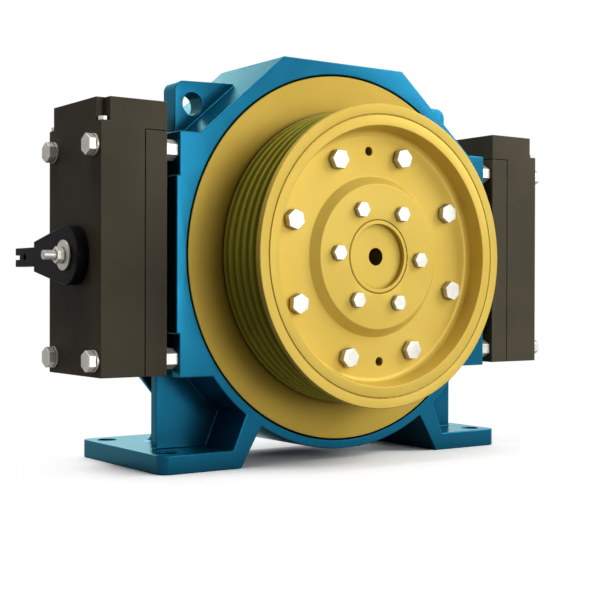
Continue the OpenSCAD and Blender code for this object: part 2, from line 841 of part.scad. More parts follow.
// round wire wound along X: rings of points joined into one closed solid
module wire_coil(r, wire_r, x0, x1, turns, per_turn = 10, sides = 6) {
    steps = turns * per_turn;
    lead = (x1 - x0 - 2 * wire_r) / steps;
    points = [for (i = [0 : steps], j = [0 : sides - 1])
        let (a = i * 360 / per_turn, b = j * 360 / sides, q = r + wire_r * cos(b))
        [x0 + wire_r + i * lead + wire_r * sin(b), q * cos(a), q * sin(a)]];
    walls = [for (i = [0 : steps - 1], j = [0 : sides - 1])
        let (k = (j + 1) % sides)
        [i * sides + j, (i + 1) * sides + j, (i + 1) * sides + k, i * sides + k]];
    ends = [[for (j = [0 : sides - 1]) j], [for (j = [sides - 1 : -1 : 0]) steps * sides + j]];
    translate([0, 0, axis_z]) polyhedron(points, concat(walls, ends));
}

module brake_springs() {
    color("silver") spring_places()
        wire_coil(spring_r, spring_wire / 2, armature_half + armature_t - spring_seat + stroke + run,
                  magnet_face + spring_pocket, 6);
}

module brake_bolts() {
    head_x = brake_half + washer16[1];
    color("silver") brake_bolt_places() {
        bar_x(m16[0], bolt_end, head_x + 1);
        hex_x(m16[1], head_x, head_x + m16[2]);
    }
}

module brake_washers() {
    color("silver") brake_bolt_places() difference() {
        bar_x(washer16[0], brake_half, brake_half + washer16[1]);
        bar_x(m16[0] + fit, brake_half - eps, brake_half + washer16[1] + eps);
    }
}

// hexagon collars with the guide sleeves that the armature slides on
module brake_spacers() {
    color("silver") brake_bolt_places() difference() {
        union() {
            hex_x(m16[1], cheek_half, armature_half - 1);
            bar_x(sleeve_r, armature_half - 2, magnet_face);
        }
        bar_x(m16[0] + fit, cheek_half - eps, magnet_face + eps);
    }
}

module armature() {
    y1 = face_y + brake_depth;
    x1 = armature_half + armature_t;
    color([0.17, 0.16, 0.15]) difference() {
        block([armature_half, face_y, -brake_bottom], [x1, y1, armature_top]);
        brake_bolt_places() bar_x(sleeve_r + loose, armature_half - eps, x1 + eps);
        spring_places() bar_x(spring_pocket_r, x1 - spring_seat, x1 + eps);
        bar_x(stud_d / 2 + fit, x1 - stud_in - 2, x1 + eps, stud_y, stud_h);
    }
}

module brake_shoe() {
    w = shoe_w / 2;
    color([0.17, 0.16, 0.15]) difference() {
        block([shoe_in, brake_y - w, -shoe_h / 2], [armature_half, brake_y + w, shoe_h / 2]);
        bar_y(lining_r + lining_t, brake_y - w - eps, brake_y + w + eps);
    }
}

// curved lining on the shoe's face
module lining() {
    w = shoe_w / 2 - 2;
    color("darkolivegreen") slab(brake_y - w, brake_y + w) intersection() {
        difference() {
            circle(r = lining_r + lining_t, $fn = 180);
            circle(r = lining_r, $fn = 180);
        }
        translate([lining_r / 2, -shoe_h / 2]) square([lining_r, shoe_h]);
    }
}

module release_stud() {
    color("silver") bar_x(stud_d / 2, armature_half + armature_t - stud_in, stud_half, stud_y, stud_h);
}

module stud_washer() {
    x = lever_out + run;
    color("silver") difference() {
        bar_x(stud_washer_r, x, x + stud_washer_t, stud_y, stud_h);
        bar_x(stud_d / 2 + fit, x - eps, x + stud_washer_t + eps, stud_y, stud_h);
    }
}

module stud_nut() {
    x = lever_out + run + stud_washer_t;
    color("silver") difference() {
        hex_x(m12[1], x, x + stud_nut_t, stud_y, stud_h);
        bar_x(stud_d / 2 + fit, x - eps, x + stud_nut_t + eps, stud_y, stud_h);
    }
}

// pear-shaped lever: round boss, sides tangent to it, and a fork end for the release cable
module release_lever() {
    reach = norm([lever_neck_l, lever_neck_half]);
    tangent = atan2(lever_neck_half, lever_neck_l) + acos(lever_boss_r / reach);
    touch = (lever_boss_r - fit) * [cos(tangent), sin(tangent)];
    slot_y = fork_slot_w / 2;
    slot_x = lever_l - fork_slot_l;
    color([0.1, 0.1, 0.1]) translate([lever_face, stud_y, axis_z + stud_h]) rotate([90, 0, 90])
        difference() {
        union() {
            cylinder(r = lever_boss_r, h = lever_t);
            linear_extrude(lever_t) polygon([touch, [lever_neck_l, lever_neck_half],
                [lever_neck_l, fork_w / 2], [lever_l, fork_w / 2], [lever_l, slot_y], [slot_x, slot_y],
                [slot_x, -slot_y], [lever_l, -slot_y], [lever_l, -fork_w / 2],
                [lever_neck_l, -fork_w / 2], [lever_neck_l, -lever_neck_half], [touch[0], -touch[1]]]);
        }
        translate([0, 0, -eps]) cylinder(r = stud_d / 2 + loose, h = lever_t + 2 * eps);
        translate([fork_hole_at, 0, -eps]) cylinder(d = fork_hole_d, h = lever_t + 2 * eps);
    }
}

module left() { mirror([1, 0, 0]) children(); }

// ---- rotor ----

module shaft() {
    front_r = front_bore_d / 2;
    rear_r = rear_bore_d / 2;
    floor_y = hub_y + nose_recess;
    brg_end = front_brg_y + front_bearing_w;
    rear_end = rear_brg_y + rear_bearing_w;
    color("gold") difference() {
        about_shaft() polygon([[0, floor_y], [nose_r - nose_wall, floor_y], [nose_r - nose_wall, hub_y],
            [nose_r - nose_edge, hub_y], [nose_r, hub_y + nose_edge], [nose_r, disc_in_y],
            [shaft_flange_r, disc_in_y], [shaft_flange_r, shaft_flange_y],
            [front_r + 6, shaft_flange_y], [front_r + 6, front_brg_y], [front_r, front_brg_y],
            [front_r, brg_end], [front_r - 4, brg_end + 4], [rear_r + 6, brg_end + 4],
            [rear_r + 6, rear_brg_y], [rear_r, rear_brg_y], [rear_r, rear_end], [rear_r - 2, rear_end],
            [rear_r - 2, rear_end + nut_w + 2], [stub_r, rear_end + nut_w + 2],
            [stub_r, dome_y + stub_l], [0, dome_y + stub_l]]);
        bar_y(centre_hole_d / 2, floor_y - eps, floor_y + centre_hole_l);
        hub_bolt_places() bar_y(m12[0] + fit, disc_in_y - eps, shaft_flange_y + eps);
    }
}

module hub_bolt_places() {
    around(hub_bolts_n, hub_turn) translate([hub_bolt_r, 0, 0]) children();
}

module sheave_bolt_places() {
    around(sheave_bolts_n, sheave_turn + 180 / sheave_bolts_n) translate([sheave_bolt_r, 0, 0]) children();
}

module jack_hole_places() {
    for (a = [90, -90]) translate([0, 0, axis_z]) rotate([0, -sheave_turn - a, 0])
        translate([sheave_bolt_r, 0, -axis_z]) children();
}

// one rope groove: round seat at the pitch line with sloping sides
module groove_profile() {
    seat_r = rope_d / 2 + 0.15;
    rise = sheave_r - rope_pitch_d / 2;
    slope = rise * tan(groove_side);
    circle(r = seat_r, $fn = 48);
    polygon([[0, -seat_r], [rise + 1, -seat_r - slope], [rise + 1, seat_r + slope], [0, seat_r]]);
}

// half section of the sheave: hub, web, inner wall, front ring, grooved rim, bolting ring
module sheave_section() {
    wall_r = ring_r - ring_slope;
    fillet_r = sheave_fillet;
    web_back = web_front_y + sheave_web_t;
    rim_in = ring_r + 4;
    rim_back = face_y - rim_gap;
    first = sheave_y + flange_t + groove_pitch / 2;
    difference() {
        polygon([[nose_r + fit, hub_y + nose_edge], [nose_r + nose_edge, hub_y], [hub_r, hub_y],
            [hub_r + hub_h, web_front_y], [wall_r - fillet_r, web_front_y],
            [wall_r, web_front_y - fillet_r], [ring_r, sheave_y], [ring_line[0], sheave_y],
            [ring_line[0], sheave_y + ring_line_t], [ring_line[1], sheave_y + ring_line_t],
            [ring_line[1], sheave_y], [sheave_r - sheave_edge, sheave_y],
            [sheave_r, sheave_y + sheave_edge], [sheave_r, sheave_y + flange_t],
            [land_r, sheave_y + flange_t], [land_r, rim_back - 1], [land_r - 1, rim_back],
            [rim_in, rim_back], [rim_in, web_back], [bolt_ring[1], web_back], [bolt_ring[1], face_y],
            [bolt_ring[0], face_y], [bolt_ring[0], web_back], [shaft_flange_r, web_back],
            [shaft_flange_r, face_y], [nose_r + fit, face_y]]);
        translate([wall_r - fillet_r, web_front_y - fillet_r - fit]) circle(r = fillet_r, $fn = 64);
        for (i = [0 : groove_count - 1]) translate([rope_pitch_d / 2, first + i * groove_pitch])
            groove_profile();
    }
}

module traction_sheave() {
    color("gold") difference() {
        about_shaft() sheave_section();
        sheave_bolt_places() bar_y(m16[0] + fit, web_front_y - eps, face_y + eps);
        hub_bolt_places() bar_y(m12[0] + fit, hub_y - eps, face_y + eps);
        jack_hole_places() bar_y(jack_hole_d / 2, web_front_y - eps, face_y + eps);
    }
}

module rotor_drum() {
    color("gold") difference() {
        about_shaft() polygon([[nose_r + fit, face_y], [drum_r - drum_edge, face_y],
            [drum_r, face_y + drum_edge], [drum_r, drum_end_y], [magnet_or, drum_end_y],
            [magnet_or, disc_in_y], [nose_r + fit, disc_in_y]]);
        sheave_bolt_places() bar_y(m16[0] + fit, face_y - eps, disc_in_y + eps);
        hub_bolt_places() bar_y(m12[0] + fit, face_y - eps, disc_in_y + eps);
    }
}

module magnets() {
    half = 360 / magnets_n * 0.42;
    far = 2 * magnet_or;
    color("dimgray") for (i = [0 : magnets_n - 1]) slab(core_y - 4, core_y + core_l + 4)
        rotate(i * 360 / magnets_n) intersection() {
            difference() {
                circle(r = magnet_or - fit, $fn = 180);
                circle(r = magnet_or - magnet_t, $fn = 180);
            }
            polygon([[0, 0], far * [cos(half), -sin(half)], far * [cos(half), sin(half)]]);
        }
}

module sheave_bolts() {
    color("silver") sheave_bolt_places() {
        bar_y(m16[0], web_front_y - 1, disc_in_y - 3);
        bar_y_hex(m16[1], web_front_y - m16[2], web_front_y);
    }
}

module hub_bolts() {
    color("silver") hub_bolt_places() {
        bar_y(m12[0], hub_y - 1, shaft_flange_y - 2);
        bar_y_hex(m12[1], hub_y - m12[2], hub_y);
    }
}

// slotted nut behind the rear bearing
module shaft_lock_nut() {
    r = rear_bore_d / 2 - 2 + fit;
    y0 = rear_brg_y + rear_bearing_w;
    color("silver") difference() {
        about_shaft() translate([r, y0]) square([nut_ring, nut_w]);
        around(4) block([r + nut_slot[0], y0 - eps, -nut_slot[1] / 2],
            [r + nut_ring + 5, y0 + nut_w + eps, nut_slot[1] / 2]);
    }
}

frame_casting();
stator_core();
stator_windings();
front_bearing_outer();
rear_bearing_outer();
rear_bearing_cover();
bearing_cover_screws();
encoder_housing();
encoder_screws();
terminal_box();
terminal_box_lid();
terminal_lid_screws();
cable_glands();
left() magnet_housing();  // left_magnet_housing
magnet_housing();  // right_magnet_housing
left() brake_coil();  // left_brake_coil
brake_coil();  // right_brake_coil
left() brake_springs();  // left_brake_springs
brake_springs();  // right_brake_springs
left() brake_bolts();  // left_brake_bolts
brake_bolts();  // right_brake_bolts
left() brake_washers();  // left_brake_washers
brake_washers();  // right_brake_washers
left() brake_spacers();  // left_brake_spacers
brake_spacers();  // right_brake_spacers
left() housing_screws();  // left_housing_screws
housing_screws();  // right_housing_screws
left() armature();  // left_armature
armature();  // right_armature
left() brake_shoe();  // left_brake_shoe
brake_shoe();  // right_brake_shoe
left() lining();  // left_lining
lining();  // right_lining
left() release_stud();  // left_release_stud
release_stud();  // right_release_stud
left() stud_washer();  // left_stud_washer
stud_washer();  // right_stud_washer
left() stud_nut();  // left_stud_nut
stud_nut();  // right_stud_nut
left() release_lever();  // left_release_lever
release_lever();  // right_release_lever
shaft();
traction_sheave();
rotor_drum();
magnets();
sheave_bolts();
hub_bolts();
front_bearing_inner();
rear_bearing_inner();
front_bearing_balls();
rear_bearing_balls();
shaft_lock_nut();
encoder_rotor();
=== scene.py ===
import bpy
import bmesh
import math
import json
from mathutils import Vector, Matrix
from mathutils.geometry import area_tri, intersect_line_line_2d, intersect_point_line


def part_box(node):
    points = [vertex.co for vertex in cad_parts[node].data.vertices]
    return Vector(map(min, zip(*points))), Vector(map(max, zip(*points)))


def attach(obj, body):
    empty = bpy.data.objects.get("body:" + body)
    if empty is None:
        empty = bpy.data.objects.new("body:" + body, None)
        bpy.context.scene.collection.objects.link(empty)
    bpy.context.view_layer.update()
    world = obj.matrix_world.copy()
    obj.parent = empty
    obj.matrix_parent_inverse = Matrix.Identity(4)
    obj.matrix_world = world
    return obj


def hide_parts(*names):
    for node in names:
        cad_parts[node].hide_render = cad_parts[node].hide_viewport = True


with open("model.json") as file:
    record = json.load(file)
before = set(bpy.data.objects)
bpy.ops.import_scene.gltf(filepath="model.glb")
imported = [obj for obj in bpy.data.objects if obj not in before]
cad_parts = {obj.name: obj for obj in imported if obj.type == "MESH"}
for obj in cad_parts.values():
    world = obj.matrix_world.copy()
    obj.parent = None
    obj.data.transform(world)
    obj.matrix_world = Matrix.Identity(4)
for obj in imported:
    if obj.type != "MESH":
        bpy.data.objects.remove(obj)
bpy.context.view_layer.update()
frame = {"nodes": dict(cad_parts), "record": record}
print("frame loaded:", len(frame["nodes"]), "nodes")

shaftHeight = frame["record"]["behaviour"]["joints"][0]["pos_m"][2]  # the rotor's axis
mmPerMetre = 1000


def srgb(r, g, b):
    # a colour as a paint card gives it, 0 to 255, turned into the shader's linear values
    def one(c):
        c /= 255
        return c / 12.92 if c <= 0.04045 else ((c + 0.055) / 1.055) ** 2.4
    return (one(r), one(g), one(b), 1)


# the part of a noise's 0 to 1 that a ramp spreads out
span = dict(cloud=(0.35, 0.65), wide=(0.3, 0.7), speck=(0.70, 0.78), worn=(0.42, 0.62))
edgeFind = dict(samples=4, sharp=0.86)  # sharp is the dot product of the normals on a full edge
cornerFind = dict(samples=6, open=0.8, deep=0.32)  # open and deep are shares of sky in sight


class Nodes:
    # small wrapper that makes and wires shader nodes
    def __init__(self, name):
        self.mat = bpy.data.materials.new(name)
        self.mat.use_nodes = True
        self.tree = self.mat.node_tree
        self.shader = self.tree.nodes["Principled BSDF"]
        self.place = self.add("ShaderNodeTexCoord").outputs["Object"]

    def add(self, kind):
        return self.tree.nodes.new(kind)

    def link(self, a, b):
        self.tree.links.new(a, b)

    def feed(self, socket, value):
        # value is a fixed one, or another node's output
        if isinstance(value, (tuple, int, float)):
            socket.default_value = value
        else:
            self.link(value, socket)

    def noise(self, scale, detail=4, rough=0.55, place=None, stretch=None):
        n = self.add("ShaderNodeTexNoise")
        n.inputs["Scale"].default_value = scale
        n.inputs["Detail"].default_value = detail
        n.inputs["Roughness"].default_value = rough
        source = place or self.place
        if stretch:
            m = self.add("ShaderNodeMapping")
            m.inputs["Scale"].default_value = stretch
            self.link(source, m.inputs["Vector"])
            source = m.outputs["Vector"]
        self.link(source, n.inputs["Vector"])
        return n.outputs["Fac"]

    def ramp(self, value, low, high, start=0.0, end=1.0):
        # maps value from low..high to start..end, clamped
        n = self.add("ShaderNodeMapRange")
        n.inputs["From Min"].default_value = low
        n.inputs["From Max"].default_value = high
        n.inputs["To Min"].default_value = start
        n.inputs["To Max"].default_value = end
        self.link(value, n.inputs["Value"])
        return n.outputs["Result"]

    def math(self, kind, *values):
        n = self.add("ShaderNodeMath")
        n.operation = kind
        for socket, value in zip(n.inputs, values):
            self.feed(socket, value)
        return n.outputs[0]

    def mix(self, fac, a, b):
        n = self.add("ShaderNodeMix")
        n.data_type = "RGBA"
        for slot, value in ((0, fac), (6, a), (7, b)):  # factor, A and B of a colour mix
            self.feed(n.inputs[slot], value)
        return n.outputs[2]

    def aboutShaft(self):
        # distance from the shaft's axis and place along it, the same all round
        n = self.add("ShaderNodeSeparateXYZ")
        self.link(self.place, n.inputs[0])
        x, z = n.outputs["X"], self.math("SUBTRACT", n.outputs["Z"], shaftHeight)
        squares = self.math("ADD", self.math("MULTIPLY", x, x), self.math("MULTIPLY", z, z))
        both = self.add("ShaderNodeCombineXYZ")
        self.link(self.math("SQRT", squares), both.inputs["X"])
        self.link(n.outputs["Y"], both.inputs["Y"])
        return both.outputs[0]

    def edges(self, width):
        # 0 on flats, up to 1 along convex and concave edges
        b = self.add("ShaderNodeBevel")
        b.samples = edgeFind["samples"]
        b.inputs["Radius"].default_value = width
        g = self.add("ShaderNodeNewGeometry")
        d = self.add("ShaderNodeVectorMath")
        d.operation = "DOT_PRODUCT"
        self.link(b.outputs[0], d.inputs[0])
        self.link(g.outputs["Normal"], d.inputs[1])
        return self.ramp(d.outputs["Value"], 1.0, edgeFind["sharp"])

    def bump(self, height, depth, below=None):
        n = self.add("ShaderNodeBump")
        n.inputs["Distance"].default_value = depth
        self.link(height, n.inputs["Height"])
        if below is not None:
            self.link(below, n.inputs["Normal"])
        return n.outputs["Normal"]

    def clouded(self, main, dark, scale, detail=3, part="cloud"):
        return self.mix(self.ramp(self.noise(scale, detail), *span[part]), dark, main)

    def wornEdges(self, colour, lit, look):
        patches = self.ramp(self.noise(look["wearScale"], detail=5), *span["worn"])
        wear = self.math("MULTIPLY", self.edges(look["edgeWidth"]), patches)
        return self.mix(self.math("MULTIPLY", wear, look["wearAmount"]), colour, lit)

    def paintedCornerShade(self, colour, look):
        # painted shade: the colour darkens towards a shade colour in corners and along gaps, where
        # the light is thin
        n = self.add("ShaderNodeAmbientOcclusion")
        n.samples = cornerFind["samples"]
        n.inputs["Distance"].default_value = look["cornerShadeReach"]
        deep = self.ramp(n.outputs["AO"], cornerFind["open"], cornerFind["deep"])
        return self.mix(self.math("MULTIPLY", deep, look["cornerShadeAmount"]), colour, look["cornerShade"])

    def unevenRough(self, noise, look):
        less, more = look["roughSwing"]
        return self.ramp(noise, *span["wide"], look["rough"] - less, look["rough"] + more)

    def finish(self, colour, rough, normal, look):
        self.link(colour, self.shader.inputs["Base Color"])
        self.link(rough, self.shader.inputs["Roughness"])
        self.link(normal, self.shader.inputs["Normal"])
        if "metal" in look:  # paints and metals set these three, plastics don't
            self.shader.inputs["Metallic"].default_value = look["metal"]
            self.shader.inputs["Specular IOR Level"].default_value = look["shine"]
            self.shader.inputs["Specular Tint"].default_value = look["tint"]
        return self.mat


def enamelOnCasting(name, main, lit, dark, look):
    n = Nodes(name)
    colour = n.clouded(main, dark, look["cloudScale"])
    specks = n.ramp(n.noise(look["speckScale"], detail=2), *span["speck"])
    colour = n.mix(n.math("MULTIPLY", specks, look["speckAmount"]), colour, dark)
    colour = n.paintedCornerShade(n.wornEdges(colour, lit, look), look)
    rough = n.unevenRough(n.noise(look["roughScale"]), look)
    grain = n.bump(n.noise(look["grainScale"], detail=3, rough=0.6), look["grainDepth"])
    normal = n.bump(n.noise(look["waveScale"], detail=2), look["waveDepth"], grain)
    return n.finish(colour, rough, normal, look)


def turnedEnamel(name, main, lit, dark, look):
    # paint over a lathe-turned surface: fine rings about the shaft show through
    n = Nodes(name)
    rings = n.noise(look["ringScale"], detail=3, rough=0.6, place=n.aboutShaft())
    colour = n.clouded(main, dark, look["cloudScale"])
    ringLight = n.math("MULTIPLY", n.ramp(rings, *span["cloud"]), look["ringTint"])
    colour = n.paintedCornerShade(n.wornEdges(n.mix(ringLight, colour, lit), lit, look), look)
    turned = n.bump(rings, look["ringDepth"])
    normal = n.bump(n.noise(look["waveScale"], detail=2), look["waveDepth"], turned)
    return n.finish(colour, n.unevenRough(rings, look), normal, look)


def platedSteel(name, main, dark, look):
    n = Nodes(name)
    colour = n.paintedCornerShade(n.clouded(main, dark, look["cloudScale"], detail=4, part="wide"), look)
    rough = n.unevenRough(n.noise(look["roughScale"], detail=5), look)
    scratches = n.noise(look["scratchScale"], detail=3, rough=0.6, stretch=look["scratchWay"])
    return n.finish(colour, rough, n.bump(scratches, look["scratchDepth"]), look)


def mouldedPlastic(name, main, dark, look):
    n = Nodes(name)
    colour = n.clouded(main, dark, look["cloudScale"])
    rough = n.unevenRough(n.noise(look["roughScale"]), look)
    grain = n.bump(n.noise(look["grainScale"], detail=2), look["grainDepth"])
    return n.finish(colour, rough, grain, look)


# scales count a noise's waves to the metre; widths, depths and reaches are in metres
# each look's dark corner colour, with its reach and amount, is painted shade for corners and gaps
castLook = dict(cloudScale=5, speckScale=600, speckAmount=0.15, edgeWidth=0.003, wearScale=70,
                wearAmount=0.25, rough=0.23, roughSwing=(0.03, 0.03), roughScale=30,
                grainScale=420, grainDepth=0.00006, waveScale=14, waveDepth=0.00018, metal=0.45,
                shine=0.12, tint=(0.25, 1, 1, 1), cornerShade=srgb(9, 34, 48), cornerShadeReach=0.07,
                cornerShadeAmount=0.8)
boxLook = dict(castLook, cloudScale=7, roughScale=42, grainScale=900, grainDepth=0.00012,
               waveDepth=0.0003, wearAmount=0.35, rough=0.5, metal=0.0, shine=0.02,
               tint=(1, 1, 1, 1), cornerShade=srgb(14, 13, 12), cornerShadeReach=0.01)
turnLook = dict(cloudScale=6, ringScale=900, ringTint=0.05, ringDepth=0.000006, edgeWidth=0.002,
                wearScale=60, wearAmount=0.3, rough=0.42, roughSwing=(0.06, 0.06), waveScale=24,
                waveDepth=0.0002, metal=0.15, shine=0.1, tint=(1, 0.9, 0.6, 1),
                cornerShade=srgb(30, 23, 6), cornerShadeReach=0.012, cornerShadeAmount=0.95)
steelLook = dict(cloudScale=60, rough=0.38, roughSwing=(0.03, 0.04), roughScale=180,
                 scratchScale=300, scratchWay=(1, 1, 1), scratchDepth=0.000003, metal=1.0,
                 shine=0.5, tint=(0.8, 0.8, 0.8, 1), cornerShade=srgb(26, 24, 20), cornerShadeReach=0.004,
                 cornerShadeAmount=0.7)
zincLook = dict(steelLook, rough=0.42, metal=0.65, shine=0.2, tint=(0.05, 0.05, 0.06, 1),
                scratchDepth=0.000002, cornerShadeAmount=0.9)
liningLook = dict(cloudScale=260, rough=0.85, roughSwing=(0.06, 0.06), roughScale=1040,
                  grainScale=1500, grainDepth=0.0004)
plasticLook = dict(liningLook, cloudScale=40, rough=0.5, roughScale=160, grainScale=1800,
                   grainDepth=0.00008)
resinLook = dict(liningLook, cloudScale=80, rough=0.45, roughScale=320, grainScale=700,
                 grainDepth=0.0002)

# the casting, the rotor and the brakes
bluePaint = enamelOnCasting("blueEnamel", srgb(20, 101, 134), srgb(54, 146, 183),
                            srgb(18, 94, 125), castLook)
# a darker copy of the sheave's yellow enamel for the rest of the rotor's paint, chiefly the drum:
# painted shade
drumShadeYellow = turnedEnamel("drumShadeEnamel", srgb(196, 165, 70), srgb(220, 193, 102),
                           srgb(187, 155, 61), turnLook)
sheavePaint = turnedEnamel("sheaveEnamel", srgb(226, 195, 92), srgb(242, 217, 125),
                           srgb(218, 185, 81), dict(turnLook, cornerShadeAmount=0.62))
# a darker, greener copy of the sheave's enamel for the roped band: painted shade in the grooves
grooveShadeYellow = turnedEnamel("grooveShadeEnamel", srgb(170, 162, 52), srgb(206, 198, 92),
                           srgb(142, 135, 36),
                           dict(turnLook, rough=0.4, ringTint=0.3, cornerShadeAmount=0.6))
brakePaint = enamelOnCasting("blackEnamel", srgb(88, 82, 68), srgb(114, 108, 94),
                             srgb(77, 72, 60), boxLook)
leverPaint = enamelOnCasting("leverBlack", srgb(24, 24, 24), srgb(64, 64, 64),
                             srgb(17, 17, 18), dict(boxLook, rough=0.38))
darkCase = enamelOnCasting("darkCase", srgb(74, 77, 82), srgb(120, 124, 128),
                           srgb(60, 63, 68), boxLook)
# bare and plated metals
zincSteel = platedSteel("brightZinc", srgb(222, 220, 212), srgb(198, 195, 186), zincLook)
groundSteel = platedSteel("groundSteel", srgb(180, 182, 186), srgb(140, 144, 150),
                          dict(steelLook, scratchWay=(1, 20, 1), rough=0.3))
darkSteel = platedSteel("darkSteel", srgb(96, 98, 102), srgb(66, 68, 72),
                        dict(steelLook, rough=0.42))
# bare steel for the shaft's centre hole, its colour kept dark and olive as painted shade in the
# hole
holeSteelAndShade = platedSteel("holeSteelAndShade", srgb(150, 130, 66), srgb(112, 96, 46),
                         dict(steelLook, rough=0.4, metal=0.7, cornerShadeAmount=0.25))
copperWire = platedSteel("varnishedCopper", srgb(190, 106, 64), srgb(140, 70, 40),
                         dict(steelLook, rough=0.35))
# linings, plastics and resin
liningBlock = mouldedPlastic("frictionLining", srgb(96, 88, 70), srgb(64, 58, 46), liningLook)
blackPlastic = mouldedPlastic("blackPlastic", srgb(34, 34, 36), srgb(24, 24, 26), plasticLook)
coilResin = mouldedPlastic("coilResin", srgb(120, 62, 36), srgb(92, 46, 28), resinLook)
print("materials made:", len(bpy.data.materials))

# angles in degrees; room, neighbour and keepOff in edge radii; weld, sliver and shortest in
# metres; fold in square metres; decimals evens out clearances that are as good as equal
rounding = dict(flatAngle=0.1, leastAngle=28, shadeAngle=32, room=2.3, neighbour=2.2, keepOff=3,
                tries=8, weld=2e-6, sliver=1e-6, shortest=1e-9, fold=1e-6, decimals=7)


def cleanCopy(node):
    # the node's surface with its flat areas joined up, ready for edge work
    bm = bmesh.new()
    bm.from_mesh(frame["nodes"][node].data)
    flat = math.radians(rounding["flatAngle"])
    bmesh.ops.remove_doubles(bm, verts=bm.verts, dist=rounding["weld"])
    bmesh.ops.dissolve_limit(bm, angle_limit=flat, verts=bm.verts, edges=bm.edges,
                             use_dissolve_boundaries=False)
    bmesh.ops.triangulate(bm, faces=bm.faces, quad_method="BEAUTY", ngon_method="BEAUTY")

    def inside():
        return [e for e in bm.edges if len(e.link_faces) == 2 and e.calc_face_angle(1) < flat]
    bmesh.ops.beautify_fill(bm, faces=bm.faces, edges=inside(), method="ANGLE")

    # the cuts that have to stay inside a flat area are the ones furthest from its corners
    def clearance(e):
        area = min(f.calc_area() for f in e.link_faces)
        return round(area / e.calc_length(), rounding["decimals"])
    for e in sorted(inside(), key=lambda e: (clearance(e), e.index)):
        if e.is_valid and len(e.link_faces) == 2:
            a, b = e.link_faces
            if len(set(a.verts) & set(b.verts)) == 2:
                bmesh.utils.face_join((a, b))
    return bm


def foldedSpots(bm):
    # places where rounding has pushed a face's outline over itself
    area = {}
    for corners in bm.calc_loop_triangles():
        f = corners[0].face
        area[f] = area.get(f, 0) + area_tri(*(c.vert.co for c in corners))
    spots = []
    for f, drawn in area.items():
        if abs(drawn - f.calc_area()) < rounding["fold"]:
            continue
        u = f.normal.orthogonal().normalized()
        v = f.normal.cross(u)
        level = f.normal * f.normal.dot(f.verts[0].co)
        flat = [Vector((p.co.dot(u), p.co.dot(v))) for p in f.verts]
        count = len(flat)
        for i in range(count):
            for j in range(i + 2, count - (i == 0)):
                hit = intersect_line_line_2d(flat[i], flat[(i + 1) % count],
                                             flat[j], flat[(j + 1) % count])
                if hit:
                    spots.append(level + u * hit.x + v * hit.y)
    return spots


def roundEdges(node, width, segments):
    # rounds the edges that have room for it, outside corners and inside ones alike
    least = math.radians(rounding["leastAngle"])

    def room(e):
        area = min(f.calc_area() for f in e.link_faces)
        return area / max(e.calc_length(), rounding["shortest"])

    def near(e, spot):
        a, b = (v.co for v in e.verts)
        point, along = intersect_point_line(spot, a, b)
        point = a if along < 0 else b if along > 1 else point
        return (spot - point).length < rounding["keepOff"] * width

    def clear(e, sharp):
        # the edges that meet this one are rounded too, or long enough to take its end
        return all(o in sharp or o.calc_length() > rounding["neighbour"] * width
                   for v in e.verts for o in v.link_edges)

    kept = []  # spots where an edge has to stay sharp
    for attempt in range(rounding["tries"]):
        bm = cleanCopy(node)
        sharp = set(e for e in bm.edges if len(e.link_faces) == 2 and e.calc_face_angle(0) > least
                    and room(e) > rounding["room"] * width and not any(near(e, s) for s in kept))
        chosen = sorted((e for e in bm.edges if e in sharp and clear(e, sharp)),
                        key=lambda e: e.index)
        bmesh.ops.bevel(bm, geom=chosen, offset=width, offset_type="OFFSET", segments=segments,
                        profile=0.5, affect="EDGES", clamp_overlap=False, miter_outer="SHARP")
        bm.normal_update()
        spots = foldedSpots(bm)
        if not spots or attempt == rounding["tries"] - 1:
            break
        kept += spots
        bm.free()
    # cuts the faces up here, so that slivers without any area can be taken out again
    bmesh.ops.triangulate(bm, faces=[f for f in bm.faces if len(f.verts) > 4])
    bmesh.ops.dissolve_degenerate(bm, dist=rounding["sliver"], edges=bm.edges)
    print("rounded", node, len(chosen), "edges")
    return bm


def addPiece(bm, node, body, materials):
    name = node + "_finished"
    mesh = bpy.data.meshes.new(name)
    bm.to_mesh(mesh)
    bm.free()
    for m in materials:
        mesh.materials.append(m)
    mesh.shade_smooth()
    mesh.set_sharp_from_angle(angle=math.radians(rounding["shadeAngle"]))
    piece = bpy.data.objects.new(name, mesh)
    bpy.context.scene.collection.objects.link(piece)
    piece.modifiers.new("flatFaces", "WEIGHTED_NORMAL").keep_sharp = True
    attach(piece, body)
    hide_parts(node)


bodyOf = {node: body for body, members in frame["record"]["behaviour"]["bodies"].items()
          for node in members}
slotOf = {row["node"]: row["material_slot"] for row in frame["record"]["subparts"]}

slotPaint = dict(casting_paint=bluePaint, core_steel=darkSteel, copper=copperWire,
                 bearing_steel=groundSteel, zinc=zincSteel, box_paint=bluePaint,
                 encoder_case=darkCase, gland_plastic=blackPlastic, rotor_paint=drumShadeYellow,
                 magnet_nickel=groundSteel, encoder_disc=groundSteel, brake_paint=brakePaint,
                 coil_resin=coilResin, spring_steel=groundSteel, lining=liningBlock,
                 lever_paint=leverPaint)

